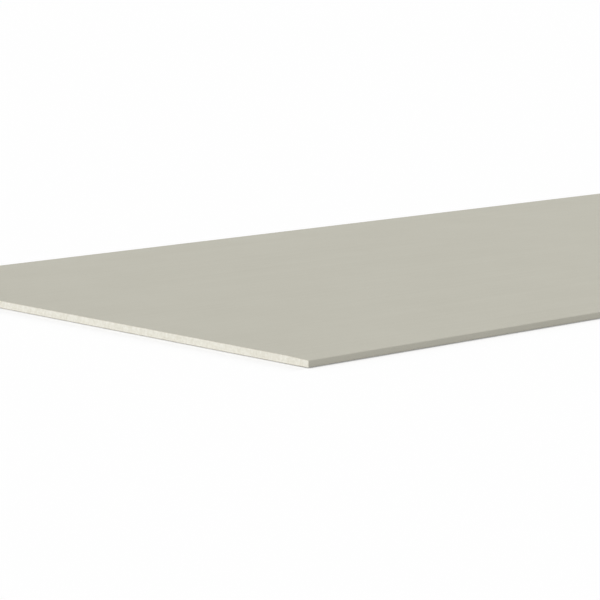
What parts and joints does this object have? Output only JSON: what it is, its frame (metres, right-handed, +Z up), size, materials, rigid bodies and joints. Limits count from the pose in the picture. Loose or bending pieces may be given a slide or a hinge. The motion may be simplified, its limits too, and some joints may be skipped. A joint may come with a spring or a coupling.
{
  "type": "drywall sheet",
  "caption": "Flat gypsum board with paper on both sides; the face paper wraps its tapered long edges and its ends are sawn square. Lines walls and ceilings.",
  "frame": {"origin": "middle of the back, where the sheet rests on the floor", "axes": "+X across the width, +Y along the length, +Z up out of the face"},
  "size_m": [1.2, 2.5, 0.0125],
  "materials": {
    "gypsum": "matte",
    "face_paper": "matte",
    "back_paper": "matte"
  },
  "bodies": {
    "root": {"gypsum_core": "gypsum", "face_paper": "face_paper", "back_paper": "back_paper"}
  },
  "joints": []
}
